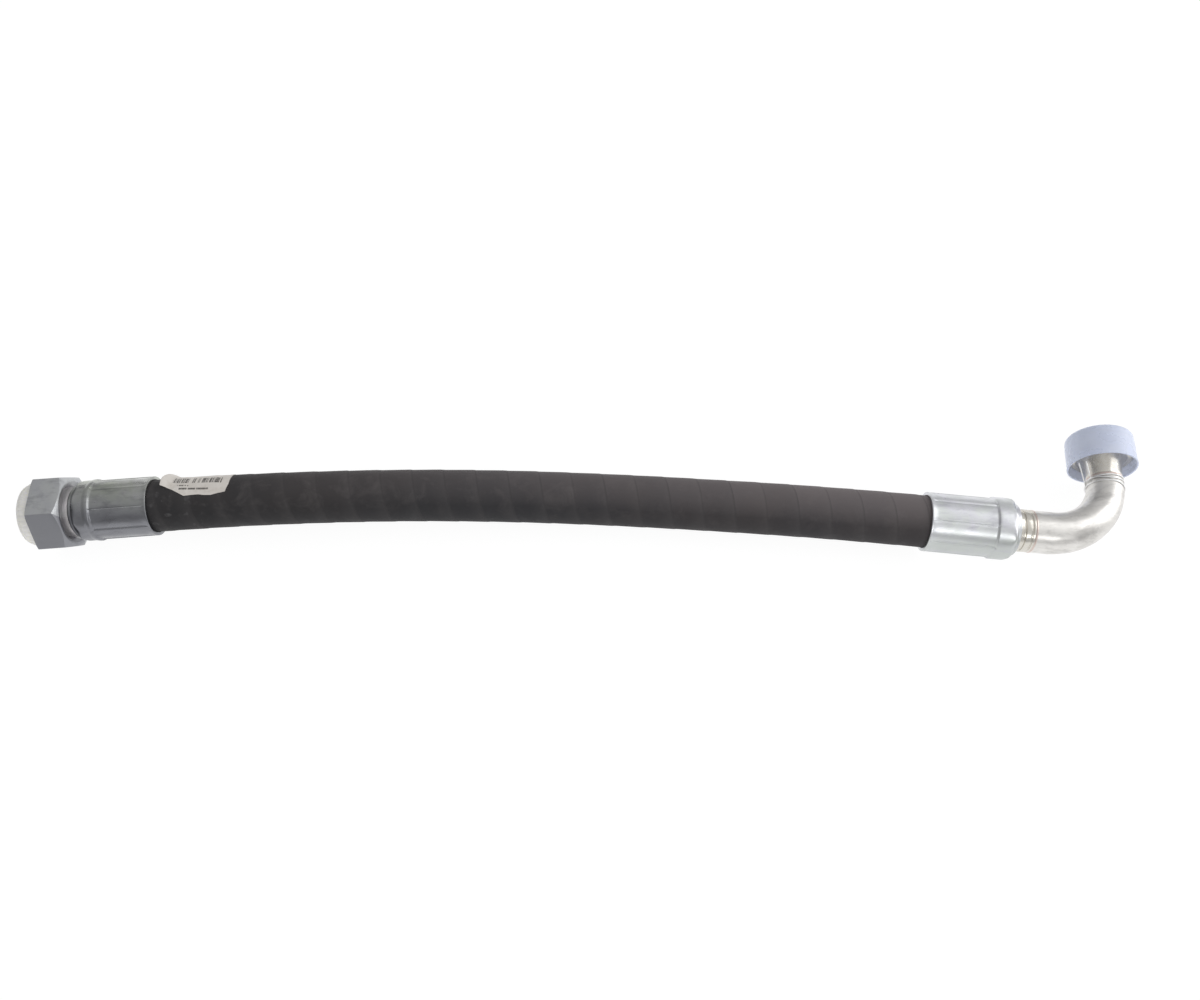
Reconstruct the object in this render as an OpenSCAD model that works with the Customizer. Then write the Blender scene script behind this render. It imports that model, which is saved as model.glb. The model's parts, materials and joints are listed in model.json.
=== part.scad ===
// Hydraulic hose assembly: a 1-1/4 inch four-spiral hose with a swivel nut at one end
// and a 90 degree elbow with a split-flange head at the other, both ends closed by dust caps.
// Millimetres. +Z is up, the hose runs along X from the nut to the elbow, the outlet faces +Y.

/* [Hose] */
// Length of hose that shows between the two ferrules, along its centreline
hose_free_l = 669; // [500:1:760]
// Diameter over the cover
hose_od = 45.8; // [45.2:0.2:47]
// Diameter over the outer wire spiral
reinforcement_od = 41.8; // [41:0.1:42.4]
// Bore of the hose
hose_bore = 31.8; // [31.2:0.1:32.4]
// Angle between the two end fittings, from the bow of the hose
bow_angle = 10.8; // [6:0.1:14]
// Length of hose beside the elbow's ferrule that lies straight
straight_l = 75; // [20:1:160]
// How far the hose sinks below the plane of its two ends
sag = 4.5; // [0:0.5:6]

/* [Ferrules] */
// Length of the nut end's ferrule from its mouth to its nose
swivel_ferrule_l = 66.5; // [64:0.5:69.5]
// Length of it that the crimping jaws press
swivel_crimp_l = 47; // [44:0.5:48]
// Length of the elbow end's ferrule from its mouth to its nose
elbow_ferrule_l = 76; // [72:0.5:77]
// Length of it that the crimping jaws press
elbow_crimp_l = 55; // [50:0.5:57]
// Diameter over the crimped length
crimp_d = 50.6; // [50:0.1:51.4]
// Diameter of the shoulder that the jaws leave
shoulder_d = 53.8; // [53:0.1:55]
// Number of crimping jaws
jaws = 8; // [6:1:10]

/* [Swivel nut] */
// Width across the flats
nut_af = 60; // [58:0.5:62]
// Length of the nut
nut_l = 26; // [25:0.5:27]
// Nominal diameter of the nut's thread
thread_d = 52; // [51:0.5:52.5]
// Pitch of the nut's thread
thread_pitch = 2; // [1.5,2]

/* [Elbow] */
// Distance from the ferrule's mouth to the axis of the outlet
elbow_reach = 161.5; // [150:0.5:180]
// Centreline radius of the bend
bend_r = 55; // [50:1:58]
// Diameter of the elbow at its nipple
tube_d = 36.6; // [36:0.1:37.2]
// Diameter of the elbow at its outlet
outlet_d = 29.6; // [29:0.1:31]
// Wall of the elbow
tube_wall = 3.2; // [2.8:0.1:3.6]

/* [Flange head] */
// Diameter of the head that the split flange clamps
head_d = 50.8; // [50.4:0.1:50.9]
// Thickness of the head
head_t = 8; // [7.8:0.1:8.2]
// Distance from the hose's axis to the sealing face
face_reach = 86; // [85:0.5:92]

/* [Dust caps] */
// Outside diameter of the flange cap at its rim
cap_d = 57.6; // [57.4:0.1:59]
// Depth of the flange cap over all
cap_l = 30.6; // [28:0.1:32]
// Diameter of the nut plug's rim
plug_d = 56; // [53:0.2:57]
// Thickness of the nut plug's rim
plug_t = 11.5; // [8:0.5:12]

/* [Hidden] */

$fn = 96;
fine_fn = 3600;      // for the label, a short arc of a very large circle
joint_gap = 0.05;    // between pieces that are fixed to each other
run_gap = 0.05;      // radial clearance of the nut on its nipple
pull_gap = 0.3;      // between a dust cap and what it covers

// place on the floor
nut_front = [-474.3, -20.4];             // where the nut's front face sits, seen from above
nut_yaw = 4.8;                           // heading of the nut's axis from +X
mouth_s = 96;                            // from the nut's front face to the ferrule's mouth
bow_r = (hose_free_l - straight_l) / (bow_angle * PI / 180);
bow_x = bow_r * sin(bow_angle);          // from the first ferrule's mouth to the bow's end
bow_y = -bow_r * (1 - cos(bow_angle));
sag_skew = 1.8;                          // puts the lowest point nearer the elbow
rest_drop = (nut_af - shoulder_d) / 2 - 0.05;
shoulder_reach = straight_l + elbow_crimp_l + 6; // from the bow's end to the ferrule's shoulder
lean = asin(rest_drop / (shoulder_reach * sin(bow_angle) - bow_y)); // tilt of the bow's plane

// wall of the hose, from the bore outwards
hose_r = hose_od / 2;
bore_r = hose_bore / 2;
wire_t = 0.6;
cushion_t = 0.2;
pack_r = reinforcement_od / 2;
tube_or = pack_r - 4 * wire_t - 3 * cushion_t;
function wire_r(n) = tube_or + (n - 1) * (wire_t + cushion_t);

// ferrule and nipple, measured inwards from the ferrule's mouth
mouth_depth = 6.5;                       // how far the cover reaches into the ferrule
function hose_end(l) = l - 14.5;         // where the hose stops inside a ferrule of length l
function lock_start(l) = l - 8.5;        // lip of the ferrule in the nipple's groove
function lock_end(l) = l - 3.5;
lock_r = 18;
collar_r = 20;
stem_r = bore_r - joint_gap;
stem_bore_r = 12.75;
lip_r = 22.6;

// swivel nipple and nut, measured from the nut's front face
nose_s = 1.5;
nose_r = 18.8;
head_s = 11.4;
head_r = 23.8;
seat_s = 15.5;
neck_r = 21.45;
cone_ring_s = 5.9;
cone_ring_r = 18.75;
cone_ring_cs = 2.5;
thread_end = 14;
minor_r = thread_d / 2 - 1.08;
chamfer_r = 0.48 * nut_af;

// elbow, measured from the ferrule's mouth, and outlet, measured from the hose's axis
collar_end = 89.5;
braze_t = 1.6;
tube_start = collar_end + braze_t;
bend_start = elbow_reach - bend_r;
tube_end = bend_r + 2;
neck_start = tube_end + braze_t;
head_back = face_reach - head_t;
tube_r = tube_d / 2;
outlet_r = outlet_d / 2;
face_ring_cs = 3.53;
face_ring_r = 20.35;
face_groove_d = 2.8;

// flange cap, measured from the hose's axis
cap_rim = 70;
cap_end = cap_rim + cap_l;
cap_wall = 1.6;

// label, in degrees around the hose and millimetres along it
label_start = 12.5;
label_l = 58;
label_from = -8;
label_to = 80;
label_t = 0.15;

// tie wire around the neck of the outlet
tie_d = 1.1;
tie_start = 52.2;
tie_pitch = 1.5;

//
// frames
//

// x runs along the nut's axis from its front face, z is up
module at_nut() {
    translate([nut_front[0], nut_front[1], nut_af / 2])
        rotate([0, 0, nut_yaw])
            children();
}

// the same axis, turned into the plane of the bow
module at_swivel_end() {
    at_nut() rotate([lean, 0, 0]) children();
}

// x runs out of the first ferrule's mouth, along the hose
module at_first_mouth() {
    at_swivel_end() translate([mouth_s, 0, 0]) children();
}

// x runs from the second ferrule's mouth towards the elbow
module at_second_mouth() {
    at_first_mouth()
        translate([bow_x, bow_y, 0])
            rotate([0, 0, -bow_angle])
                translate([straight_l, 0, 0])
                    children();
}

// x runs out along the outlet from the hose's axis
module at_outlet() {
    at_second_mouth()
        translate([elbow_reach, 0, 0])
            rotate([0, 0, 90])
                children();
}

//
// shapes
//

// a solid of revolution about x; each point is [radius, station]
module turned(points) {
    rotate([0, 90, 0]) rotate_extrude() polygon(points);
}

module ring(r, cs) {
    rotate([0, 90, 0]) rotate_extrude() translate([r, 0]) circle(d = cs);
}

module straight(outer, inner, length) {
    turned([[inner, 0], [outer, 0], [outer, length], [inner, length]]);
}

// a bent tube through stations of [x, y, z, heading, half width, half height], as one skin
module swept_tube(stations, wall, sides) {
    steps = len(stations) - 1;
    skin = [for (t = [0, wall], s = stations, k = [0:sides - 1])
        let (b = 360 * k / sides, w = (s[4] - t) * cos(b))
            [s[0] - w * sin(s[3]), s[1] + w * cos(s[3]), s[2] + (s[5] - t) * sin(b)]];
    function at(layer, i, k) = (layer * (steps + 1) + i) * sides + k % sides;
    outer = [for (i = [0:steps - 1], k = [0:sides - 1])
        each [[at(0, i, k), at(0, i + 1, k + 1), at(0, i, k + 1)],
              [at(0, i, k), at(0, i + 1, k), at(0, i + 1, k + 1)]]];
    inner = [for (i = [0:steps - 1], k = [0:sides - 1])
        each [[at(1, i, k), at(1, i, k + 1), at(1, i + 1, k + 1)],
              [at(1, i, k), at(1, i + 1, k + 1), at(1, i + 1, k)]]];
    ends = [for (k = [0:sides - 1])
        each [[at(0, 0, k), at(0, 0, k + 1), at(1, 0, k + 1), at(1, 0, k)],
              [at(0, steps, k), at(1, steps, k), at(1, steps, k + 1), at(0, steps, k + 1)]]];
    polyhedron(points = skin, faces = concat(outer, inner, ends));
}

// [x, y, z, heading] of the hose's centreline, s from the first ferrule's mouth
function on_hose(s) =
    let (
        a = min(max(s / bow_r * 180 / PI, 0), bow_angle),
        rest = s - a * PI / 180 * bow_r,
        u = min(max(s / hose_free_l, 0), 1)
    )
        [
            bow_r * sin(a) + rest * cos(a),
            -bow_r * (1 - cos(a)) - rest * sin(a),
            -sag * pow(sin(180 * pow(u, sag_skew)), 2),
            -a
        ];

// one layer of the hose, reaching into the two ferrules
module hose_layer(outer, inner, first_reach, second_reach, sides = 24) {
    steps = 11;
    run = [for (i = [0:steps]) hose_free_l * i / steps];
    stations = concat([-first_reach], run, [hose_free_l + second_reach]);
    at_first_mouth()
        swept_tube([for (s = stations) concat(on_hose(s), [outer, outer])], outer - inner, sides);
}

module inner_layer(outer, inner) {
    hose_layer(outer, inner, hose_end(swivel_ferrule_l), hose_end(elbow_ferrule_l));
}

// points on an arc, as [radius, station]
function arc(centre_r, centre_s, r, from, to, steps) =
    [for (i = [0:steps])
        let (a = from + (to - from) * i / steps)
            [centre_r + r * cos(a), centre_s + r * sin(a)]];

//
// hose
//

module hose_inner_tube() {
    // the bore's flats clear the nipples' stems
    color("dimgray") inner_layer(tube_or, bore_r / cos(180 / 24));
}

module wire_spiral(n) {
    color("goldenrod") inner_layer(wire_r(n) + wire_t, wire_r(n));
}

module cushion_layer(n) {
    color("gray") inner_layer(wire_r(n + 1), wire_r(n) + wire_t);
}

module hose_cover() {
    color([0.16, 0.15, 0.15]) hose_layer(hose_r, pack_r, mouth_depth, mouth_depth, 48);
}

// a paper sticker that wraps part of the cover near the first ferrule
module barcode_label() {
    step = (label_to - label_from) / 12;
    inner = hose_r + 0.03;
    outer = inner + label_t;
    wedge = [for (i = [0:12]) let (a = label_from + i * step) 2 * outer * [cos(a), sin(a)]];
    start_angle = label_start / bow_r * 180 / PI;
    sweep = label_l / bow_r * 180 / PI;
    color("white")
        at_first_mouth()
            translate([0, -bow_r, 0])
                rotate([0, 0, 90 - start_angle - sweep])
                    rotate_extrude(angle = sweep, $fn = fine_fn)
                        translate([bow_r, 0])
                            rotate(90)
                                mirror([0, 1])
                                    intersection() {
                                        difference() {
                                            circle(r = outer, $fn = 64);
                                            circle(r = inner, $fn = 64);
                                        }
                                        polygon(concat([[0, 0]], wedge));
                                    }
}

//
// ferrules and nipples
//

// crimped ferrule; x runs from its mouth to its nose
module ferrule(length, crimp_l) {
    crimp_r = crimp_d / 2;
    shoulder_r = shoulder_d / 2;
    ridge_w = 1.3;
    ridge_h = 0.55;
    ridge_start = 3;
    ridge_end = crimp_l + 0.8;
    nose = arc(shoulder_r - 4.3, length - 7.5, 4.3, 0, 72, 6);
    outline = concat(
        [
            [hose_r + joint_gap, 0],
            [crimp_r + 0.35, 0],
            [crimp_r + 0.6, 0.9],
            [crimp_r, 4],
            [crimp_r, crimp_l],
            [shoulder_r, crimp_l + 1.4]
        ],
        nose,
        [
            [lip_r, length - 2.6],
            [lip_r, length - 0.5],
            [lip_r - 0.5, length],
            [collar_r + joint_gap, length],
            [collar_r + joint_gap, lock_end(length)],
            [lock_r + joint_gap, lock_end(length)],
            [lock_r + joint_gap, lock_start(length)],
            [pack_r + joint_gap, lock_start(length)],
            [pack_r + joint_gap, mouth_depth],
            [hose_r + joint_gap, mouth_depth]
        ]
    );
    turned(outline);
    for (i = [0:jaws - 1])
        rotate([(i + 0.5) * 360 / jaws, 0, 0])
            translate([ridge_start, -ridge_w / 2, crimp_r - 1])
                cube([ridge_end - ridge_start, ridge_w, 1 + ridge_h]);
}

// outline of the barbed stem and the locking groove, from the hose's end to the nose
function tail(length) = let (barbs = floor((hose_end(length) - 12.3) / 8)) concat(
    [[stem_bore_r, 2.5], [stem_r - 0.8, 2.5]],
    [for (i = [0:barbs], p = [[stem_r, 5 + i * 8], [stem_r, 9.5 + i * 8], [stem_r - 0.6, 10.2 + i * 8]])
        p],
    [
        [stem_r, hose_end(length) - 2],
        [stem_r, hose_end(length) + 1],
        [collar_r, hose_end(length) + 1],
        [collar_r, lock_start(length)],
        [lock_r, lock_start(length)],
        [lock_r, lock_end(length)],
        [collar_r, lock_end(length)],
        [collar_r, length]
    ]
);

// from the ferrule's mouth back to the nut, so the tail's outline runs the other way
module swivel_nipple() {
    groove_w = cone_ring_cs + 0.3;
    groove_r = cone_ring_r - cone_ring_cs / 2 - joint_gap;
    groove_in = cone_ring_s - groove_w / 2;
    groove_out = cone_ring_s + groove_w / 2;
    function cone_r(s) = nose_r + (s - nose_s) * tan(12);
    back = mouth_s - swivel_ferrule_l;
    front = [
        [neck_r, back - 0.6],
        [neck_r, seat_s + head_r - neck_r],
        [head_r, seat_s],
        [head_r, head_s + 0.8],
        [head_r - 0.8, head_s],
        [cone_r(head_s), head_s],
        [cone_r(groove_out), groove_out],
        [groove_r, groove_out],
        [groove_r, groove_in],
        [cone_r(groove_in), groove_in],
        [nose_r, nose_s + 0.4],
        [nose_r - 0.5, nose_s],
        [stem_bore_r + 1.4, nose_s],
        [stem_bore_r, nose_s + 1.4]
    ];
    color("lightslategray")
        at_swivel_end()
            turned(concat(
                [for (p = tail(swivel_ferrule_l)) [p[0], mouth_s - p[1]]],
                [[collar_r, back - 0.6]],
                front
            ));
}

module elbow_nipple() {
    groove = elbow_ferrule_l + 4.6;
    color("silver")
        at_second_mouth()
            turned(concat(
                tail(elbow_ferrule_l),
                [
                    [tube_r + 0.3, elbow_ferrule_l],
                    [tube_r + 0.3, groove - 1],
                    [tube_r - 0.7, groove - 0.5],
                    [tube_r - 0.7, groove + 0.5],
                    [tube_r + 0.1, groove + 1],
                    [tube_r + 0.1, collar_end - 3.4],
                    [tube_r - 0.4, collar_end - 3],
                    [tube_r - 0.4, collar_end - 2.4],
                    [tube_r + 0.1, collar_end - 2],
                    [tube_r + 0.1, collar_end],
                    [tube_r - tube_wall, collar_end],
                    [tube_r - tube_wall, elbow_ferrule_l],
                    [stem_bore_r, elbow_ferrule_l - 4]
                ]
            ));
}

module swivel_ferrule() {
    color("slategray") at_first_mouth() mirror([1, 0, 0]) ferrule(swivel_ferrule_l, swivel_crimp_l);
}

module elbow_ferrule() {
    color("silver") at_second_mouth() ferrule(elbow_ferrule_l, elbow_crimp_l);
}

//
// swivel nut
//

// the thread is a stack of plain rings at the thread's pitch
module nut_bore() {
    turns = floor((thread_end - 1.5) / thread_pitch);
    crest = minor_r;
    root = thread_d / 2 + 0.1;
    seat_end = seat_s + 0.1 + head_r - neck_r - run_gap;
    thread_rings = [for (i = [0:turns - 1], p = [
            [crest, 1.6 + i * thread_pitch],
            [crest, 2 + i * thread_pitch],
            [root, 2.85 + i * thread_pitch],
            [root, 3.1 + i * thread_pitch],
            [crest, 1.6 + (i + 1) * thread_pitch - 0.05]
        ]) p];
    turned(concat(
        [[0, -1], [root + 1.2, -1], [root + 0.2, 0], [crest, 1.5]],
        thread_rings,
        [
            [head_r + 0.2, thread_end + 0.3],
            [head_r + 0.2, seat_s - 0.1],
            [neck_r + run_gap, seat_end],
            [neck_r + run_gap, nut_l - 5],
            [neck_r + run_gap + 5, nut_l + 0.1],
            [neck_r + run_gap + 5, nut_l + 1],
            [0, nut_l + 1]
        ]
    ));
}

module swivel_nut() {
    corner_r = nut_af / sqrt(3);
    rear = (corner_r + 1 - chamfer_r) * tan(30);
    front = (corner_r + 1 - chamfer_r - 4) * tan(20);
    color("gray")
        at_nut()
            difference() {
                intersection() {
                    rotate([0, 90, 0])
                        rotate([0, 0, 30])
                            cylinder(h = nut_l, r = corner_r, $fn = 6);
                    turned([
                        [0, 0],
                        [chamfer_r + 4, 0],
                        [corner_r + 1, front],
                        [corner_r + 1, nut_l - rear],
                        [chamfer_r, nut_l],
                        [0, nut_l]
                    ]);
                }
                nut_bore();
            }
}

module cone_o_ring() {
    color("black")
        at_swivel_end()
            translate([cone_ring_s, 0, 0])
                ring(cone_ring_r, cone_ring_cs);
}

// push-in plastic plug with a wide fluted rim
module nut_plug() {
    rim_r = plug_d / 2;
    sleeve_r = minor_r - pull_gap;
    sleeve_in = 22.4;
    sleeve_l = 8.6;
    flutes = 36;
    color("whitesmoke")
        at_nut()
            difference() {
                turned([
                    [0, -plug_t + 2.2],
                    [12, -plug_t + 2.2],
                    [14, -plug_t + 0.4],
                    [16, -plug_t],
                    [rim_r - 1.6, -plug_t],
                    [rim_r - 0.4, -plug_t + 0.9],
                    [rim_r, -0.5],
                    [rim_r - 0.4, -0.1],
                    [sleeve_r, -0.1],
                    [sleeve_r, sleeve_l - 1.2],
                    [sleeve_r - 0.8, sleeve_l],
                    [sleeve_in, sleeve_l],
                    [sleeve_in, -plug_t + 4.4],
                    [0, -plug_t + 4.4]
                ]);
                for (i = [0:flutes - 1])
                    rotate([i * 360 / flutes, 0, 0])
                        translate([-plug_t - 1, 0, rim_r + 0.55])
                            rotate([0, 90, 0])
                                cylinder(h = plug_t + 0.4, r = 1.1, $fn = 20);
            }
}

//
// elbow and flange head
//

module nipple_braze_ring() {
    color("peru")
        at_second_mouth()
            translate([collar_end, 0, 0])
                turned([
                    [tube_r - tube_wall, 0],
                    [tube_r + 0.1, 0],
                    [tube_r + 0.35, braze_t * 0.4],
                    [tube_r, braze_t],
                    [tube_r - tube_wall, braze_t]
                ]);
}

// narrows towards the outlet in the plane of the bend, and bulges across it in the turn
module elbow_tube() {
    steps = 20;
    bulge = 2.2;
    turned_part = [for (i = [0:steps])
        let (
            u = i / steps,
            a = 90 * u,
            w = tube_r + (outlet_r - tube_r) * pow(u, 0.8),
            h = tube_r + (outlet_r - tube_r) * u + bulge * sin(180 * u)
        )
            [bend_start + bend_r * sin(a), bend_r * (1 - cos(a)), 0, a, w, h]];
    inlet = [tube_start, 0, 0, 0, tube_r, tube_r];
    outlet = [elbow_reach, tube_end, 0, 90, outlet_r, outlet_r];
    color("silver")
        at_second_mouth()
            swept_tube(concat([inlet], turned_part, [outlet]), tube_wall, 36);
}

module flange_braze_ring() {
    color("peru")
        at_outlet()
            translate([tube_end, 0, 0])
                turned([
                    [outlet_r - tube_wall, 0],
                    [outlet_r, 0],
                    [outlet_r + 0.3, braze_t * 0.5],
                    [outlet_r, braze_t],
                    [outlet_r - tube_wall, braze_t]
                ]);
}

module flange_head() {
    head_r_out = head_d / 2;
    neck_top = 20;
    flare_r = 28.1;
    groove_in = face_ring_r - face_ring_cs / 2 - 0.13;
    groove_out = face_ring_r + face_ring_cs / 2 + 0.13;
    flare = arc(outlet_r + flare_r, neck_start + 2.4, flare_r, 180, 145.3, 8);
    color("silver")
        at_outlet()
            difference() {
                turned(concat(
                    [
                        [outlet_r - tube_wall, neck_start],
                        [outlet_r, neck_start]
                    ],
                    flare,
                    [
                        [neck_top, head_back],
                        [head_r_out - 0.5, head_back],
                        [head_r_out, head_back + 0.5],
                        [head_r_out, face_reach - 0.5],
                        [head_r_out - 0.5, face_reach],
                        [outlet_r - tube_wall + 1, face_reach],
                        [outlet_r - tube_wall, face_reach - 1]
                    ]
                ));
                translate([face_reach - face_groove_d, 0, 0])
                    straight(groove_out, groove_in, face_groove_d + 1);
            }
}

module flange_o_ring() {
    color("black")
        at_outlet()
            translate([face_reach - face_groove_d + face_ring_cs / 2 + joint_gap, 0, 0])
                ring(face_ring_r, face_ring_cs);
}

// push-on translucent cap; a thicker band inside it grips the flange head
module flange_cap() {
    rim_r = cap_d / 2;
    end_r = rim_r - 0.5;
    corner = 4;
    inner = rim_r - cap_wall;
    grip = head_d / 2 + pull_gap;
    outside = arc(end_r - corner, cap_end - corner, corner, 0, 90, 6);
    color([0.75, 0.8, 0.93, 0.6])
        at_outlet()
            turned(concat(
                [[inner + 0.4, cap_rim], [rim_r, cap_rim]],
                outside,
                [[0, cap_end], [0, cap_end - cap_wall], [grip, cap_end - cap_wall]],
                [[grip, head_back - 0.5], [inner, head_back - 2.5], [inner, cap_rim + 1]]
            ));
}

// thin wire wound three times round the neck, with two free tails
module tie_wire() {
    turns = 3;
    steps = 28 * turns;
    sides = 8;
    wound_r = outlet_r + 0.7 + tie_d / 2;
    tail_l = [17, 12];
    tail_angle = [10, 24];
    // centre and heading of the wound part at u, from 0 to 1
    function wound(u) = [tie_start + tie_pitch * turns * u, 90 + 360 * turns * u];
    rings = [for (i = [0:steps], k = [0:sides - 1])
        let (w = wound(i / steps), r = wound_r + tie_d / 2 * cos(360 * k / sides))
            [w[0] + tie_d / 2 * sin(360 * k / sides), r * cos(w[1]), r * sin(w[1])]];
    walls = [for (i = [0:steps - 1], k = [0:sides - 1])
        let (n = (k + 1) % sides)
            each [[i * sides + k, i * sides + n, (i + 1) * sides + n],
                  [i * sides + k, (i + 1) * sides + n, (i + 1) * sides + k]]];
    first = [for (k = [0:sides - 1]) sides - 1 - k];
    last = [for (k = [0:sides - 1]) steps * sides + k];
    color("lightgray")
        at_outlet() {
            polyhedron(points = rings, faces = concat([first], walls, [last]));
            for (i = [0:1])
                translate([tie_start + tie_pitch * turns * i, 0, wound_r])
                    rotate([tail_angle[i] - 90, 0, 0])
                        rotate([0, 60, 0])
                            cylinder(h = tail_l[i], d = tie_d, $fn = sides);
        }
}

hose_inner_tube();
wire_spiral(1);  // wire_spiral_1
wire_spiral(2);  // wire_spiral_2
wire_spiral(3);  // wire_spiral_3
wire_spiral(4);  // wire_spiral_4
cushion_layer(1);  // cushion_layer_1
cushion_layer(2);  // cushion_layer_2
cushion_layer(3);  // cushion_layer_3
hose_cover();
barcode_label();
swivel_nipple();
swivel_ferrule();
swivel_nut();
cone_o_ring();
nut_plug();
elbow_nipple();
elbow_ferrule();
nipple_braze_ring();
elbow_tube();
flange_braze_ring();
flange_head();
flange_o_ring();
flange_cap();
tie_wire();
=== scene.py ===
"""Looks for the hydraulic hose assembly: swivel nut on the left, 90 degree flange elbow on the right."""
import json
import math

import bmesh
import bpy
from mathutils import Matrix, Vector, noise


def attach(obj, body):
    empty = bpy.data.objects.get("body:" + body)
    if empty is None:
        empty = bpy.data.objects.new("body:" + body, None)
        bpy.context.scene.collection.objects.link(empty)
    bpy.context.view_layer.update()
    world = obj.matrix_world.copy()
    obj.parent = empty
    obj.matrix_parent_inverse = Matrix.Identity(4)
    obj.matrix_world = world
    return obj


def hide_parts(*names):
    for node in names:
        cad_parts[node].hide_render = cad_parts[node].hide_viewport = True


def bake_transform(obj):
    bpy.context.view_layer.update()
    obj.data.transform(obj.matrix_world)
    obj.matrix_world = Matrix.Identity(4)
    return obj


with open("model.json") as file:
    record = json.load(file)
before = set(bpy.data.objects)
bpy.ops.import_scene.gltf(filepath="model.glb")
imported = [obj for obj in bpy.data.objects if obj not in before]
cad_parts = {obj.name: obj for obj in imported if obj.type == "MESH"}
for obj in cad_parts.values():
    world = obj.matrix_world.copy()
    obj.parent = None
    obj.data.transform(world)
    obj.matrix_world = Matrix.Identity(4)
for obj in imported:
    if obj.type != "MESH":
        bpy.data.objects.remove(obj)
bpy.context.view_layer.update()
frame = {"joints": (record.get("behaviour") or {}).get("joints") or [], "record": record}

MM = 0.001

# ---------------------------------------------------------------- sizes, in millimetres
# The route and the stations repeat the CAD source's own round numbers.
HOSE_L = 669
STRAIGHT_L = 75  # the length left straight beside the two ferrules
SAG = 4.5
SAG_SKEW = 1.8  # moves the deepest place towards the elbow
WRAP_PITCH = 27.5
WRAP_STEP = 0.3
WRAP_EDGE = 0.93  # the share of a lap that rises before it drops
MOUTH_S = 96
NUT_HEADING = 4.8
ELBOW_REACH = 161.5
FACE_REACH = 86
FACE_PROBE_R = 23.5

HOSE_R = 22.9
PACK_R = 20.9
BORE_R = 15.9
WIRE_T = 0.6
CUSHION_T = 0.2
TUBE_OR = PACK_R - 4 * WIRE_T - 3 * CUSHION_T
MOUTH_DEPTH = 6.5
STEM_BORE_R = 12.75
COLLAR_R = 20
LOCK_R = 18
LAYERS_SHORT = 14.5  # the hose's layers stop this far short of a ferrule's nose
LOCK_FROM = 8.5  # a ferrule's lip lies between these two distances from its nose
LOCK_TO = 3.5
NECK_R = 21.45
LIP_R = 22.6

SWIVEL_FERRULE_L = 66.5
SWIVEL_CRIMP_L = 47
ELBOW_FERRULE_L = 76
ELBOW_CRIMP_L = 55
CRIMP_D = 50.6
SHOULDER_D = 53.8
JAWS = 8

NUT_AF = 60
NUT_L = 26
THREAD_PITCH = 2
THREAD_MINOR_R = 24.92
PLUG_D = 56
PLUG_T = 11.5
FLUTES = 36

COLLAR_END = 89.5
BRAZE_T = 1.6
BEND_R = 55
TUBE_R = 18.3
OUTLET_R = 14.8
TUBE_WALL = 3.2
HEAD_D = 50.8
HEAD_T = 8
GROOVE_OR = 22.245
GROOVE_IR = 18.455
GROOVE_DEPTH = 2.8
CAP_D = 57.6
CAP_L = 30.6
CAP_RIM = 70

# ---------------------------------------------------------------- frames


def axes(origin, x, up):
    """A place whose x runs along x and whose z is as near to up as it can be."""
    x = Vector(x).normalized()
    y = Vector(up).cross(x).normalized()
    z = x.cross(y)
    m = Matrix((x, y, z)).transposed().to_4x4()
    m.translation = Vector(origin)
    return m


def moved(place, x=0, y=0, z=0):
    """The same place, shifted along its own axes by millimetres."""
    return place @ Matrix.Translation(Vector((x, y, z)) * MM)


joints = {j["name"]: j for j in frame["joints"]}
mounts = {m["name"]: m for m in frame["record"]["mounts"]}
bodies = frame["record"]["behaviour"]["bodies"]
BENDING_SLOTS = ("cover_rubber", "inner_rubber", "spiral_wire", "label_paper")
plane_up = Vector(joints["hose_bend"]["axis"]).normalized()

nut_at = axes(joints["nut_spin"]["pos_m"], joints["nut_spin"]["axis"], (0, 0, 1))
swivel_at = axes(nut_at.translation, joints["nut_spin"]["axis"], plane_up)
first_mouth = moved(swivel_at, x=MOUTH_S)

outlet_axis = Vector(joints["cap_pull"]["axis"]).normalized()
face_centre = Vector(mounts["flange_face"]["pos_m"]) - FACE_PROBE_R * MM * plane_up
outlet_at = axes(face_centre - FACE_REACH * MM * outlet_axis, outlet_axis, plane_up)
elbow_axis = outlet_axis.cross(plane_up)
second_mouth = axes(
    outlet_at.translation - ELBOW_REACH * MM * elbow_axis, elbow_axis, plane_up
)

BOW = swivel_at.to_3x3().col[0].angle(elbow_axis)
BOW_R = (HOSE_L - STRAIGHT_L) / BOW


def on_hose(s):
    """The place on the hose's centreline, s millimetres from the first ferrule's mouth."""
    turned = min(max(s / BOW_R, 0), BOW)
    rest = s - turned * BOW_R
    x = BOW_R * math.sin(turned) + rest * math.cos(turned)
    y = -BOW_R * (1 - math.cos(turned)) - rest * math.sin(turned)
    along = min(max(s / HOSE_L, 0), 1)
    z = -SAG * math.sin(math.pi * along**SAG_SKEW) ** 2
    local = Matrix.Translation(Vector((x, y, z)) * MM) @ Matrix.Rotation(-turned, 4, "Z")
    return first_mouth @ local


# ---------------------------------------------------------------- camera

scene = bpy.context.scene
VIEW_ELEVATION = math.radians(61.25)
VIEW_DISTANCE = 0.8726
SENSOR_WIDTH = 36
FOCAL_LENGTH = 28.695
AIM_FROM_NUT = Vector((0.4821, 0.0302, -0.030))


def make_camera():
    aim = nut_at.translation + AIM_FROM_NUT
    data = bpy.data.cameras.new("camera")
    data.sensor_width = SENSOR_WIDTH
    data.lens = FOCAL_LENGTH
    data.clip_start = 0.01
    data.clip_end = 50
    camera = bpy.data.objects.new("camera", data)
    scene.collection.objects.link(camera)
    back = Vector((0, -math.cos(VIEW_ELEVATION), math.sin(VIEW_ELEVATION)))
    camera.location = aim + VIEW_DISTANCE * back
    camera.rotation_euler = (math.pi / 2 - VIEW_ELEVATION, 0, 0)
    scene.camera = camera


make_camera()

# ---------------------------------------------------------------- mesh helpers


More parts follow.
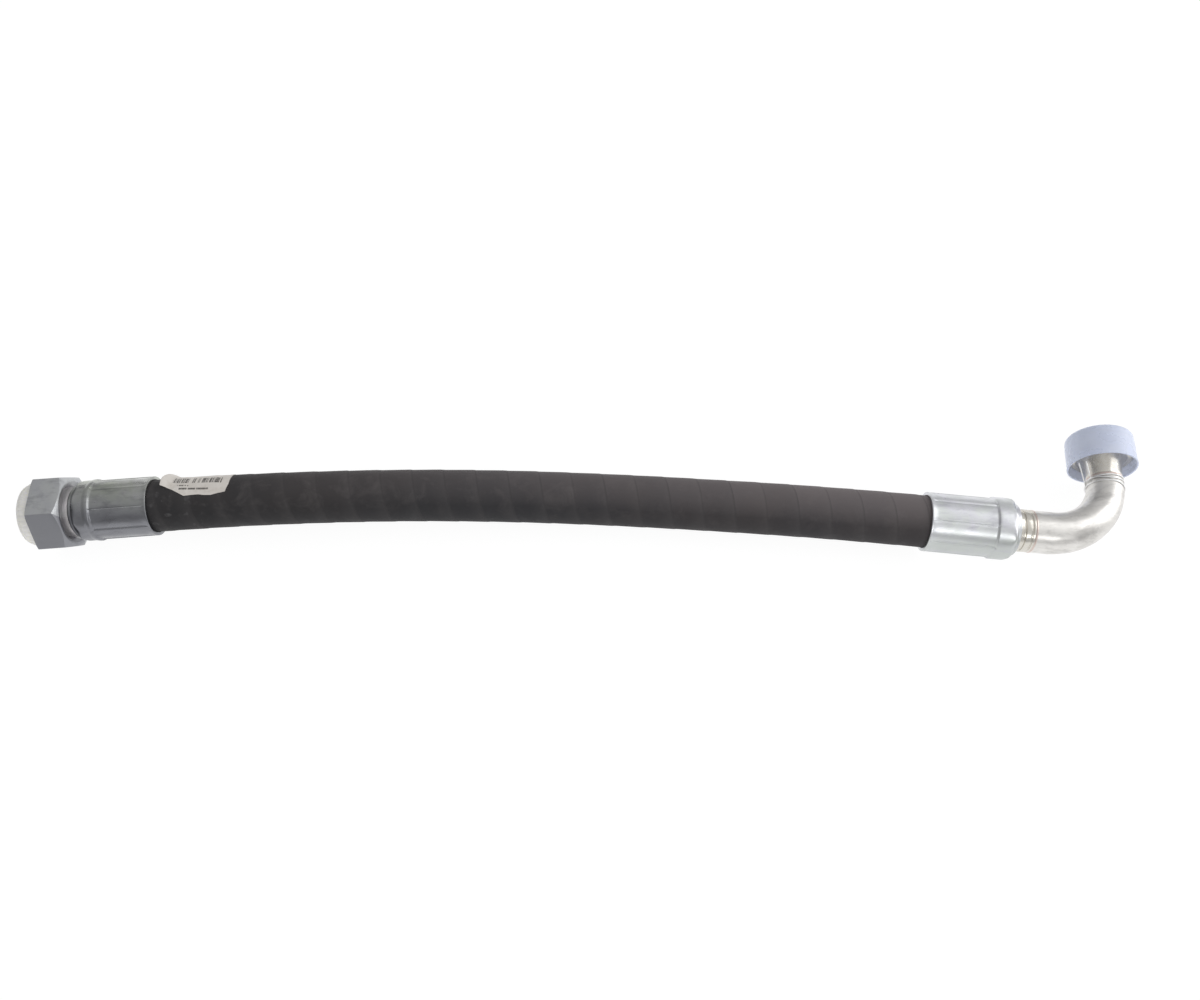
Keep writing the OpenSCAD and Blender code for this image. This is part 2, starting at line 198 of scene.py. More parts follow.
def mesh_object(name, points, faces, uvs=None, sharp_angle=40):
    mesh = bpy.data.meshes.new(name)
    mesh.from_pydata([tuple(p) for p in points], [], faces)
    mesh.validate()
    if uvs:
        layer = mesh.uv_layers.new(name="along")
        for loop in mesh.loops:
            layer.data[loop.index].uv = uvs[loop.vertex_index]
    for polygon in mesh.polygons:
        polygon.use_smooth = True
    mesh.set_sharp_from_angle(angle=math.radians(sharp_angle))
    obj = bpy.data.objects.new(name, mesh)
    scene.collection.objects.link(obj)
    return obj


def circle_angles(count):
    return [2 * math.pi * k / count - math.pi / 2 for k in range(count)]


def soften(profile, radius, steps=3):
    """Rounds every corner of a closed profile of (r, s) by a small radius."""
    out = []
    count = len(profile)
    for i, point in enumerate(profile):
        p = Vector(point)
        before = Vector(profile[i - 1]) - p
        after = Vector(profile[(i + 1) % count]) - p
        turn = abs(math.pi - before.angle(after)) if before.length and after.length else 0
        if p.x < 0.01 or turn < math.radians(12):
            out.append((p.x, p.y))
            continue
        reach = min(radius, before.length * 0.45, after.length * 0.45)
        a = p + before.normalized() * reach
        b = p + after.normalized() * reach
        for k in range(steps + 1):
            t = k / steps
            q = a * (1 - t) ** 2 + p * 2 * t * (1 - t) + b * t * t
            out.append((q.x, q.y))
    return out


def lathe(name, rows, place, angles=None, sharp_angle=40):
    """A closed skin about the place's x. Each row is (radius, station) in millimetres,
    or a function of the angle that returns them."""
    angles = angles or circle_angles(128)
    count = len(angles)
    points, uvs, rings = [], [], []
    for row in rows:
        if not callable(row) and row[0] < 0.01:
            rings.append([len(points)] * count)
            points.append(place @ (Vector((row[1], 0, 0)) * MM))
            uvs.append((0, row[1] * MM))
            continue
        ring = []
        for a in angles:
            r, s = row(a) if callable(row) else row
            ring.append(len(points))
            points.append(place @ (Vector((s, r * math.cos(a), r * math.sin(a))) * MM))
            uvs.append(((a + math.pi / 2) * r * MM, s * MM))
        rings.append(ring)
    faces = []
    for i, ring in enumerate(rings):
        after = rings[(i + 1) % len(rings)]
        if len(set(ring)) == 1 and len(set(after)) == 1:
            continue
        for k in range(count):
            n = (k + 1) % count
            corners = [ring[k], ring[n], after[n], after[k]]
            face = [v for j, v in enumerate(corners) if v != corners[j - 1]]
            faces.append(face)
    obj = mesh_object(name, points, faces, uvs, sharp_angle)
    turn_outward(obj)
    return obj


def turn_outward(obj):
    """Turns the faces of a closed mesh so that they look outwards."""
    b = bmesh.new()
    b.from_mesh(obj.data)
    bmesh.ops.recalc_face_normals(b, faces=b.faces)
    b.to_mesh(obj.data)
    b.free()


def tube(name, places, section, wall=None, sides=96):
    """A tube along places; section(i, angle) is its outer radius in millimetres as (y, z).
    With a wall it is hollow, otherwise its ends are closed with a fan."""
    angles = circle_angles(sides)
    points, uvs = [], []
    skins = [0] if wall is None else [0, wall]
    count = len(places)
    for skin in skins:
        travelled = 0
        for i, place in enumerate(places):
            if i:
                travelled += (place.translation - places[i - 1].translation).length
            for a in angles:
                y, z = section(i, a)
                size = math.hypot(y, z)
                k = (size - skin) / size
                points.append(place @ (Vector((0, y * k, z * k)) * MM))
                uvs.append(((a + math.pi / 2) * size * MM, travelled))
    faces = []

    def at(skin, i, k):
        return (skin * count + i) * sides + k % sides

    for i in range(count - 1):
        for k in range(sides):
            faces.append([at(0, i, k), at(0, i, k + 1), at(0, i + 1, k + 1), at(0, i + 1, k)])
            if wall is not None:
                faces.append([at(1, i, k), at(1, i + 1, k), at(1, i + 1, k + 1), at(1, i, k + 1)])
    if wall is None:
        faces.append([at(0, 0, k) for k in range(sides)][::-1])
        faces.append([at(0, count - 1, k) for k in range(sides)])
    else:
        for k in range(sides):
            faces.append([at(0, 0, k), at(1, 0, k), at(1, 0, k + 1), at(0, 0, k + 1)])
            last = count - 1
            faces.append([at(0, last, k), at(0, last, k + 1), at(1, last, k + 1), at(1, last, k)])
    obj = mesh_object(name, points, faces, uvs)
    turn_outward(obj)
    return obj


# ---------------------------------------------------------------- material helpers


class Look:
    """A node material, built up a step at a time around one Principled shader."""

    def __init__(self, name):
        self.mat = bpy.data.materials.new(name)
        self.mat.use_nodes = True
        self.tree = self.mat.node_tree
        self.tree.nodes.clear()
        self.out = self.node("ShaderNodeOutputMaterial")
        self.shader = self.node("ShaderNodeBsdfPrincipled")
        self.link(self.shader.outputs[0], self.out.inputs[0])
        self.coords = self.node("ShaderNodeTexCoord")
        self.height = None

    def node(self, kind, **values):
        n = self.tree.nodes.new(kind)
        for key, value in values.items():
            setattr(n, key, value)
        return n

    def link(self, a, b):
        self.tree.links.new(a, b)

    def set(self, **values):
        for key, value in values.items():
            self.shader.inputs[key.replace("_", " ")].default_value = value
        return self

    def stretched(self, scale, turn=0, source="Object"):
        """Coordinates scaled per axis, after a turn about Z in degrees."""
        m = self.node("ShaderNodeMapping")
        m.inputs["Rotation"].default_value = (0, 0, math.radians(turn))
        m.inputs["Scale"].default_value = scale
        self.link(self.coords.outputs[source], m.inputs["Vector"])
        return m.outputs[0]

    def noise(self, vector, scale, detail=4, rough=0.55, distortion=0):
        n = self.node("ShaderNodeTexNoise")
        n.inputs["Scale"].default_value = scale
        n.inputs["Detail"].default_value = detail
        n.inputs["Roughness"].default_value = rough
        n.inputs["Distortion"].default_value = distortion
        self.link(vector, n.inputs["Vector"])
        return n.outputs["Fac"]

    def ramp(self, value, low, high, to_low=0.0, to_high=1.0):
        n = self.node("ShaderNodeMapRange")
        n.inputs["From Min"].default_value = low
        n.inputs["From Max"].default_value = high
        n.inputs["To Min"].default_value = to_low
        n.inputs["To Max"].default_value = to_high
        self.link(value, n.inputs["Value"])
        return n.outputs[0]

    def math(self, operation, a, b=None):
        n = self.node("ShaderNodeMath", operation=operation)
        for i, v in enumerate((a, b)):
            if v is None:
                continue
            if isinstance(v, (int, float)):
                n.inputs[i].default_value = v
            else:
                self.link(v, n.inputs[i])
        return n.outputs[0]

    def mix(self, factor, a, b):
        n = self.node("ShaderNodeMix", data_type="RGBA")
        for socket, v in ((n.inputs[0], factor), (n.inputs[6], a), (n.inputs[7], b)):
            if isinstance(v, (int, float)):
                socket.default_value = v
            elif isinstance(v, tuple):
                socket.default_value = (*v, 1)
            else:
                self.link(v, socket)
        return n.outputs[2]

    def colour(self, value):
        self.link(value, self.shader.inputs["Base Color"])
        return self

    def rough(self, value):
        self.link(value, self.shader.inputs["Roughness"])
        return self

    def bump(self, value, depth):
        """Adds a height field, depth in millimetres; later ones stack on earlier ones."""
        n = self.node("ShaderNodeBump")
        n.inputs["Strength"].default_value = 1
        n.inputs["Distance"].default_value = depth * MM
        self.link(value, n.inputs["Height"])
        if self.height:
            self.link(self.height, n.inputs["Normal"])
        self.height = n.outputs[0]
        self.link(self.height, self.shader.inputs["Normal"])
        return self


def rgb(r, g, b):
    """A display colour of 0 to 255 as scene-linear values."""
    return tuple(((v / 255 + 0.055) / 1.055) ** 2.4 if v > 10 else v / 255 / 12.92 for v in (r, g, b))


def paint(obj, look):
    """Gives every face of the piece this look."""
    obj.data.materials.clear()
    obj.data.materials.append(look.mat)


def stand_in(obj, node, look, slot):
    """Shows this piece in the place of a CAD node, riding on that node's body."""
    paint(obj, look)
    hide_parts(node)
    if slot not in BENDING_SLOTS:
        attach(obj, next(b for b, nodes in bodies.items() if node in nodes))


def steel_look(name, base, tint, roughness, rings=0.0, drawn=0.0, soil=None, patch=0.6, painted_shade=None):
    """Plated steel: clouded tint, uneven gloss and fine grain; rings are turning marks round
    the piece and drawn are marks along it, both in millimetres deep, and soil is the colour
    of its dull smudges. The last argument paints shade: a darker near, lower side standing for
    less light there; it holds a turn about Z, a place along Y after the turn, the width of the
    change there and the darker colour."""
    look = Look(name)
    look.set(Metallic=1.0)
    plain = look.stretched((1, 1, 1))
    cloud = look.noise(plain, 45, 5, 0.6, 0.6)
    fine = look.noise(plain, 420, 4, 0.6)
    weight = look.math("ADD", look.math("MULTIPLY", cloud, 0.8), look.math("MULTIPLY", fine, 0.2))
    body = look.mix(look.math("MULTIPLY", look.ramp(weight, 0.38, 0.62), patch), base, tint)
    # painted shade: below a place along Y the colour turns darker, standing for less light there
    if painted_shade:
        turn, level, change, shade = painted_shade
        split = look.node("ShaderNodeSeparateXYZ")
        look.link(look.stretched((1, 1, 1), turn), split.inputs[0])
        body = look.mix(look.ramp(split.outputs[1], level - change, level + change, 1, 0), body, shade)
    if soil:
        smudge = look.noise(look.stretched((30, 75, 75)), 1, 6, 0.68, 0.5)
        body = look.mix(look.ramp(smudge, 0.5, 0.72, 0, 0.75), body, soil)
        speck = look.noise(look.stretched((60, 170, 170)), 1, 5, 0.7, 0.3)
        body = look.mix(look.ramp(speck, 0.52, 0.72, 0, 0.5), body, soil)
    look.colour(body)
    look.rough(look.ramp(weight, 0.35, 0.65, roughness - 0.06, roughness + 0.09))
    look.bump(look.noise(plain, 1400, 3, 0.6), 0.008)
    if rings:
        look.bump(look.noise(look.stretched((6, 2600, 1), 0, "UV"), 1, 2, 0.5), rings)
    if drawn:
        look.bump(look.noise(look.stretched((1300, 16, 1), 0, "UV"), 1, 3, 0.5), drawn)
    return look


# ---------------------------------------------------------------- looks


# where round the hose the painted light on its top and back is strongest, with painted shade opposite
PAINTED_LIGHT_ANGLE = 2.08  # radians round the hose from the place where U is 0


def cover_look():
    look = Look("cover_rubber")
    wide = look.noise(look.stretched((1, 1, 1)), 11, 3, 0.5)
    cloud = look.noise(look.stretched((1, 1, 1)), 60, 6, 0.65, 0.4)
    split = look.node("ShaderNodeSeparateXYZ")
    look.link(look.coords.outputs["UV"], split.inputs[0])
    # lighter towards the elbow end: partly paler, dustier rubber and partly painted light, as the light is
    # stronger at that end
    along = look.ramp(split.outputs[1], 0.06, 0.62)
    clean = look.mix(along, rgb(36, 36, 38), rgb(57, 55, 59))
    brown = look.mix(along, rgb(42, 40, 41), rgb(66, 61, 62))
    body = look.mix(look.ramp(wide, 0.4, 0.62), clean, brown)
    dusty = look.ramp(cloud, 0.5, 0.76, 0, 0.46)
    body = look.mix(dusty, body, rgb(98, 94, 94))
    # painted light and painted shade: paler on top and towards the back, where the light falls, more so
    # towards the elbow end, and darker underneath
    around = look.math("ADD", look.math("MULTIPLY", split.outputs[0], 1000 / HOSE_R), -PAINTED_LIGHT_ANGLE)
    facing = look.math("COSINE", around)
    body = look.mix(look.ramp(facing, -1, 0.2, 0.62, 0), body, rgb(27, 27, 30))
    painted_top_light = look.ramp(facing, -0.3, 1, 0, 0.78)
    painted_top_light = look.math("MULTIPLY", painted_top_light, look.ramp(along, 0, 1, 0.12, 1))
    body = look.mix(painted_top_light, body, rgb(126, 119, 120))
    # the curing wrap's laps, in step with hose_radius: a dark line at each step, a lighter crest
    # before it, and each lap a little lighter or darker than the next
    lap = look.math("MULTIPLY", split.outputs[1], 1000 / WRAP_PITCH)
    turns = look.math("MULTIPLY", split.outputs[0], 1000 / HOSE_R / (2 * math.pi))
    lap = look.math("ADD", look.math("SUBTRACT", lap, turns), 0.25 - MOUTH_DEPTH / WRAP_PITCH)
    white = look.node("ShaderNodeTexWhiteNoise", noise_dimensions="1D")
    look.link(look.math("FLOOR", lap), white.inputs["W"])
    body = look.mix(look.ramp(white.outputs["Value"], 0, 1, 0, 0.14), body, rgb(54, 52, 54))
    phase = look.math("FRACT", lap)
    body = look.mix(look.ramp(phase, 0.5, 0.92, 0, 0.1), body, rgb(104, 100, 100))
    body = look.mix(look.ramp(phase, 0.92, 0.97, 0, 0.24), body, rgb(32, 31, 33))
    near = look.ramp(split.outputs[1], 0.03, 0.075, 1, 0)
    spots = look.noise(look.stretched((1, 1, 1)), 150, 3, 0.5)
    spot = look.math("MULTIPLY", near, look.ramp(spots, 0.6, 0.72, 0, 0.24))
    look.colour(look.mix(spot, body, rgb(120, 118, 120)))
    look.rough(look.ramp(cloud, 0.3, 0.7, 0.62, 0.82))
    look.set(Specular_IOR_Level=0.35)
    weave = look.noise(look.stretched((1400, 500, 1), 0, "UV"), 1, 2, 0.5)
    look.bump(weave, 0.05)
    look.bump(look.noise(look.stretched((1, 1, 1)), 900, 4, 0.7), 0.08)
    return look


def paper_look():
    look = Look("label_paper")
    uv = look.node("ShaderNodeSeparateXYZ")
    look.link(look.coords.outputs["UV"], uv.inputs[0])
    along, across = uv.outputs[0], uv.outputs[1]

    def band(value, low, high):
        above = look.math("GREATER_THAN", value, low)
        return look.math("MULTIPLY", above, look.math("LESS_THAN", value, high))

    def random_bars(pitch, share, seed):
        cell = look.math("FLOOR", look.math("MULTIPLY", along, 1 / pitch))
        white = look.node("ShaderNodeTexWhiteNoise", noise_dimensions="1D")
        look.link(look.math("ADD", cell, seed), white.inputs["W"])
        return look.math("LESS_THAN", white.outputs["Value"], share)

    # bars and marks that stand for print, placed in metres along and across the paper
    bars = look.math("MULTIPLY", random_bars(0.00048, 0.5, 3), band(along, 0.0200, 0.0615))
    bars = look.math("MULTIPLY", bars, band(across, 0.0185, 0.0262))
    dashes = look.math("MULTIPLY", random_bars(0.0010, 0.6, 40), band(along, 0.0245, 0.0385))
    dashes = look.math("MULTIPLY", dashes, band(across, 0.0287, 0.0300))
    line = look.math("MULTIPLY", random_bars(0.0009, 0.74, 90), band(along, 0.0265, 0.0515))
    line = look.math("MULTIPLY", line, band(across, 0.0319, 0.0337))
    ink = look.math("MAXIMUM", look.math("MAXIMUM", bars, dashes), line)
    worn = look.noise(look.stretched((1, 1, 1)), 500, 4, 0.7)
    ink = look.math("MULTIPLY", ink, look.ramp(worn, 0.3, 0.55, 0.35, 0.9))
    soil = look.ramp(look.noise(look.stretched((1, 1, 1)), 120, 5, 0.6), 0.45, 0.75, 0, 0.5)
    paper = look.mix(soil, rgb(222, 217, 211), rgb(186, 178, 168))
    look.colour(look.mix(ink, paper, rgb(52, 48, 46)))
    look.set(Roughness=0.6)
    look.bump(look.noise(look.stretched((1, 1, 1)), 240, 3, 0.5), 0.08)
    return look


def plug_look():
    look = Look("plug_plastic")
    cloud = look.noise(look.stretched((1, 1, 1)), 70, 4, 0.6)
    look.colour(look.mix(cloud, rgb(242, 241, 238), rgb(230, 228, 222)))
    look.rough(look.ramp(cloud, 0.3, 0.7, 0.42, 0.6))
    look.set(Subsurface_Weight=0.3, Subsurface_Radius=(0.004, 0.004, 0.003))
    look.bump(look.noise(look.stretched((1, 1, 1)), 700, 3, 0.6), 0.03)
    return look


def cap_look():
    look = Look("cap_plastic")
    cloud = look.noise(look.stretched((1, 1, 1)), 55, 3, 0.5)
    look.colour(look.mix(cloud, rgb(218, 227, 253), rgb(232, 239, 255)))
    look.rough(look.ramp(cloud, 0.3, 0.7, 0.22, 0.34))
    look.set(IOR=1.45, Transmission_Weight=0.2, Subsurface_Weight=0.0)
    look.bump(look.noise(look.stretched((1, 1, 1)), 60, 2, 0.5), 0.02)
    return look


def rubber_look(name, shade):
    look = Look(name)
    cloud = look.noise(look.stretched((1, 1, 1)), 90, 4, 0.6)
    look.colour(look.mix(cloud, rgb(shade, shade, shade), rgb(shade + 14, shade + 13, shade + 12)))
    look.rough(look.ramp(cloud, 0.3, 0.7, 0.45, 0.65))
    look.bump(look.noise(look.stretched((1, 1, 1)), 800, 3, 0.6), 0.04)
    return look


def floor_look():
    look = Look("floor")
    look.colour(look.mix(look.noise(look.stretched((1, 1, 1)), 3), rgb(96, 96, 96), rgb(102, 102, 102)))
    look.set(Roughness=0.9, Specular_IOR_Level=0.1, Emission_Color=(1, 1, 1, 1), Emission_Strength=0.93)
    return look


cover = cover_look()
paper = paper_look()
plug_white = plug_look()
cap_blue = cap_look()
liner = rubber_look("inner_rubber", 30)
seal = rubber_look("seal_rubber", 24)
brassed = steel_look("spiral_wire", rgb(170, 150, 105), rgb(140, 125, 100), 0.35)
# painted shade: the swivel ferrule's near, lower side is darker than its upper side
swivel_steel = steel_look(
    "swivel_steel", rgb(190, 191, 189), rgb(174, 180, 166), 0.31, rings=0.004, drawn=0.006,
    soil=rgb(112, 112, 117), patch=0.8, painted_shade=(0, -0.018, 0.014, rgb(132, 133, 138)),
)
# painted shade: the nut's lower flats are darker than its top flat
nut_steel = steel_look(
    "nut_steel", rgb(191, 193, 194), rgb(180, 181, 187), 0.38,
    soil=rgb(142, 143, 148), painted_shade=(-NUT_HEADING, 0.00204, 0.0004, rgb(144, 145, 150)),
)
nipple_steel = steel_look("nipple_steel", rgb(226, 220, 223), rgb(200, 202, 196), 0.4, rings=0.01)
# painted shade: the elbow ferrule's lowest, near edge is darker
zinc = steel_look(
    "zinc", rgb(224, 224, 231), rgb(215, 220, 216), 0.33, rings=0.004, drawn=0.008,
    soil=rgb(186, 186, 195), patch=0.8, painted_shade=(0, -0.048, 0.005, rgb(192, 196, 194)),
)
zinc_tube = steel_look(
    "zinc_tube", rgb(231, 229, 226), rgb(216, 214, 210), 0.34, drawn=0.004, soil=rgb(172, 170, 167)
)
turned_zinc = steel_look("turned_zinc", rgb(220, 217, 210), rgb(196, 190, 180), 0.22, rings=0.014)
copper = steel_look("copper_braze", rgb(216, 196, 188), rgb(206, 200, 194), 0.32)
bright_wire = steel_look("wire_metal", rgb(248, 248, 248), rgb(236, 236, 236), 0.34)

# ---------------------------------------------------------------- hose


def hose_radius(s, angle):
    """Cover radius with the stepped spiral that the curing wrap leaves."""
    phase = (s / WRAP_PITCH - angle / (2 * math.pi)) % 1
    lap = phase if phase < WRAP_EDGE else (1 - phase) / (1 - WRAP_EDGE) * WRAP_EDGE
    wander = noise.noise(Vector((s * 0.02, math.cos(angle) * 1.3, math.sin(angle) * 1.3)))
    return HOSE_R - WRAP_STEP + WRAP_STEP * lap + 0.1 * wander


def hose_run(before, after, step):
    """Stations from one end of a layer to the other, past both mouths."""
    total = HOSE_L + before + after
    count = round(total / step)
    return [total * i / count - before for i in range(count + 1)]


def blended(obj):
    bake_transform(obj)


def make_hose():
    run = hose_run(MOUTH_DEPTH, MOUTH_DEPTH, 2.2)

    def cover_section(i, angle):
        r = hose_radius(run[i], angle)
        return r * math.cos(angle), r * math.sin(angle)

    skin = tube("hose_skin", [on_hose(s) for s in run], cover_section, HOSE_R - PACK_R, 96)
    stand_in(skin, "hose_cover", cover, "cover_rubber")
    blended(skin)


def make_layer(node, outer, inner, look, slot):
    run = hose_run(SWIVEL_FERRULE_L - LAYERS_SHORT, ELBOW_FERRULE_L - LAYERS_SHORT, 12)

    def section(i, angle):
        return outer * math.cos(angle), outer * math.sin(angle)

    layer = tube(node + "_sleeve", [on_hose(s) for s in run], section, outer - inner, 64)
    stand_in(layer, node, look, slot)
    blended(layer)


def make_layers():
    make_layer("hose_inner_tube", TUBE_OR, BORE_R, liner, "inner_rubber")
    for n in range(4):
        inner = TUBE_OR + n * (WIRE_T + CUSHION_T)
        make_layer(f"wire_spiral_{n + 1}", inner + WIRE_T, inner, brassed, "spiral_wire")
        if n < 3:
            outer = inner + WIRE_T + CUSHION_T
            make_layer(f"cushion_layer_{n + 1}", outer, inner + WIRE_T, liner, "inner_rubber")


# ---------------------------------------------------------------- ferrules

RIDGE_OFFSETS = (0, 0.4, 0.8, 1.2, 1.7, 2.3, 3.2, 4.5)


def jaw_angles(turn):
    """Angles for a crimped piece, close together beside each of its ridges."""
    degrees = set()
    beside = RIDGE_OFFSETS[-1]
    for jaw in range(JAWS):
        centre = turn + jaw * 360 / JAWS
        for d in RIDGE_OFFSETS:
            degrees |= {round(centre + d, 3), round(centre - d, 3)}
        for k in range(1, 9):
            degrees.add(round(centre + beside + k * (360 / JAWS - 2 * beside) / 9, 3))
    return [math.radians(d) for d in sorted(degrees)]


def smooth(low, high, value):
    t = min(max((value - low) / (high - low), 0), 1)
    return t * t * (3 - 2 * t)


def crimped(r, s, angle, turn, crimp, length):
    """Radius of the ferrule's outside: flats and ridges of the jaws, a soft shoulder and nose."""
    pitch = 360 / JAWS
    off = (math.degrees(angle) - turn + pitch / 2) % pitch - pitch / 2
    pressed = smooth(1.2, 4.5, s) * (1 - smooth(crimp - 0.2, crimp + 0.9, s))
    ridge = 0.6 * math.exp(-((off / 1.0) ** 2)) - 0.24 * math.exp(-(((abs(off) - 2.4) / 1.0) ** 2))
    flat = 0.2 * (2 * abs(off) / pitch) ** 2 - 0.12
    notch = math.exp(-((off / 1.1) ** 2)) * math.exp(-(((s - crimp - 0.6) / 1.0) ** 2))
    nose = smooth(length - 8, length - 5, s) * (1 - smooth(length - 3, length - 2, s))
    facet = math.cos(math.radians(off) * JAWS)
    wander = noise.noise(Vector((s * 0.09, math.cos(angle) * 2.1, math.sin(angle) * 2.1)))
    return r + pressed * (ridge + flat) - 0.7 * notch - 0.6 * nose * facet + 0.1 * wander


def make_ferrule(node, place, side, length, crimp, turn, waist, look, slot):
    """side is 1 when the nose lies along the place's x, and -1 when it lies against it. crimp
    is where the pressed part ends, turn is a ridge's angle in degrees, and waist is how far
    the shoulder falls in towards the nose."""
    shoulder = SHOULDER_D / 2
    pressed = CRIMP_D / 2
    run = [(pressed, s) for s in range(6, int(crimp) - 2, 4)]
    nose = [
        (shoulder - 4.3 + 4.3 * math.cos(math.radians(a)), length - 7.5 + 4.3 * math.sin(math.radians(a)))
        for a in range(0, 75, 12)
    ]
    outline = [(HOSE_R + 0.05, 0), (pressed + 0.45, 0), (pressed + 0.6, 0.9), (pressed + 0.1, 3.4)]
    outline += run + [(pressed, crimp - 1), (pressed, crimp), (shoulder, crimp + 1.4)]
    outline += [(shoulder, crimp + 3.4), (shoulder - waist, crimp + 6), (shoulder - waist, length - 9)]
    outline += [(r - waist, s) for r, s in nose]
    outline += [(LIP_R, length - 2.8), (LIP_R, length - 0.5), (LIP_R - 0.5, length)]
    outline += [
        (COLLAR_R + 0.05, length),
        (COLLAR_R + 0.05, length - LOCK_TO),
        (LOCK_R + 0.05, length - LOCK_TO),
        (LOCK_R + 0.05, length - LOCK_FROM),
        (PACK_R + 0.05, length - LOCK_FROM),
        (PACK_R + 0.05, MOUTH_DEPTH),
        (HOSE_R + 0.05, MOUTH_DEPTH),
    ]
    rows = []
    for r, s in soften(outline, 0.5):
        if r > HOSE_R + 0.2:
            rows.append(lambda a, r=r, s=s: (crimped(r, s, a, turn, crimp, length), side * s))
        else:
            rows.append((r, side * s))
    ferrule = lathe(node + "_crimped", rows, place, jaw_angles(turn), 50)
    stand_in(ferrule, node, look, slot)


# ---------------------------------------------------------------- nipples


def tail(length):
    """Outside of a nipple's barbed stem and locking groove, (r, s) from the mouth inwards."""
    stem = BORE_R - 0.05
    end = length - LAYERS_SHORT
    points = [(STEM_BORE_R, 2.5), (stem - 0.8, 2.5)]
    for i in range(int((end - 12.3) // 8) + 1):
        points += [(stem, 5 + i * 8), (stem, 9.5 + i * 8), (stem - 0.6, 10.2 + i * 8)]
    points += [(stem, end - 2), (stem, end + 1), (COLLAR_R, end + 1), (COLLAR_R, length - LOCK_FROM)]
    points += [(LOCK_R, length - LOCK_FROM), (LOCK_R, length - LOCK_TO), (COLLAR_R, length - LOCK_TO)]
    return points + [(COLLAR_R, length)]


def make_swivel_nipple():
    back = MOUTH_S - SWIVEL_FERRULE_L
    slope = math.tan(math.radians(12))

    def cone(s):
        return 18.8 + (s - 1.5) * slope

    rows = [(r, MOUTH_S - s) for r, s in tail(SWIVEL_FERRULE_L)]
    rows += [(COLLAR_R, back - 0.6), (NECK_R, back - 0.6), (NECK_R, 17.85), (23.8, 15.5)]
    rows += [(23.8, 12.2), (23, 11.4), (cone(11.4), 11.4), (cone(7.3), 7.3)]
    rows += [(17.45, 7.3), (17.45, 4.5), (cone(4.5), 4.5), (18.8, 1.9), (18.3, 1.5)]
    rows += [(STEM_BORE_R + 1.4, 1.5), (STEM_BORE_R, 2.9)]
    nipple = lathe("swivel_nipple_turned", soften(rows, 0.25), swivel_at)
    stand_in(nipple, "swivel_nipple", nipple_steel, "plated_nipple")
    ring_piece("cone_o_ring", swivel_at, 18.75, 5.9, 1.25, seal, "seal_rubber")


def make_elbow_nipple():
    start = ELBOW_FERRULE_L
    groove = start + 4.6
    r = TUBE_R
    rows = tail(start)
    rows += [(r + 0.4, start), (r + 0.4, groove - 1.1), (r - 1.1, groove - 0.5), (r - 1.1, groove + 0.7)]
    rows += [(r + 0.15, groove + 1.1), (r + 0.15, COLLAR_END - 3.4), (r - 0.7, COLLAR_END - 2.9)]
    rows += [(r - 0.7, COLLAR_END - 2.2), (r + 0.1, COLLAR_END - 1.8), (r + 0.1, COLLAR_END)]
    rows += [(r - TUBE_WALL, COLLAR_END), (r - TUBE_WALL, start), (STEM_BORE_R, start - 4)]
    nipple = lathe("elbow_nipple_turned", soften(rows, 0.22), second_mouth)
    stand_in(nipple, "elbow_nipple", turned_zinc, "zinc_collar")


def ring_piece(node, place, r, s, half, look, slot):
    """An O-ring."""
    rows = [
        (r + half * math.cos(math.radians(a)), s + half * math.sin(math.radians(a)))
        for a in range(0, 360, 18)
    ]
    stand_in(lathe(node + "_round", rows, place, circle_angles(144)), node, look, slot)


def braze_piece(node, place, r, s):
    """A braze fillet with an uneven bead."""

    def bead(k):
        def at(angle):
            wander = noise.noise(Vector((math.cos(angle) * 3, math.sin(angle) * 3, s)))
            swell = math.sin(math.pi * k / 6)
            return r + swell * (0.34 + 0.16 * wander), s + BRAZE_T * k / 6

        return at

    rows = [bead(k) for k in range(7)] + [(r - TUBE_WALL, s + BRAZE_T), (r - TUBE_WALL, s)]
    stand_in(lathe(node + "_bead", rows, place), node, copper, "copper_braze")


# ---------------------------------------------------------------- swivel nut and its plug


CORNER_OFFSETS = (0, 0.25, 0.5, 0.75, 1.1, 1.8)


def nut_angles():
    """Angles for the hexagon, close together beside its corners."""
    degrees = set()
    beside = CORNER_OFFSETS[-1]
    for corner in range(0, 360, 60):
        for d in CORNER_OFFSETS:
            degrees |= {round(corner + d, 3), round(corner - d, 3)}
        for k in range(1, 16):
            degrees.add(round(corner + beside + k * (60 - 2 * beside) / 16, 3))
    return [math.radians(d) for d in sorted(degrees)]


def hexagon(angle):
    """Radius of the hexagon, flat side up, its corners rounded a little."""
    off = abs((math.degrees(angle) - 90 + 30) % 60 - 30)
    corner = max(0, off - 29.1) / 0.9
    return NUT_AF / 2 / math.cos(math.radians(off)) - 0.14 * corner**2


def thread_radius(s, angle):
    phase = (s / THREAD_PITCH - angle / (2 * math.pi)) % 1
    rise = abs(2 * phase - 1)
    depth = min(max((rise - 0.12) / 0.7, 0), 1)
    run_in = smooth(0.8, 2.6, s) * (1 - smooth(12.6, 13.8, s))
    return THREAD_MINOR_R + 1.1 * depth * run_in


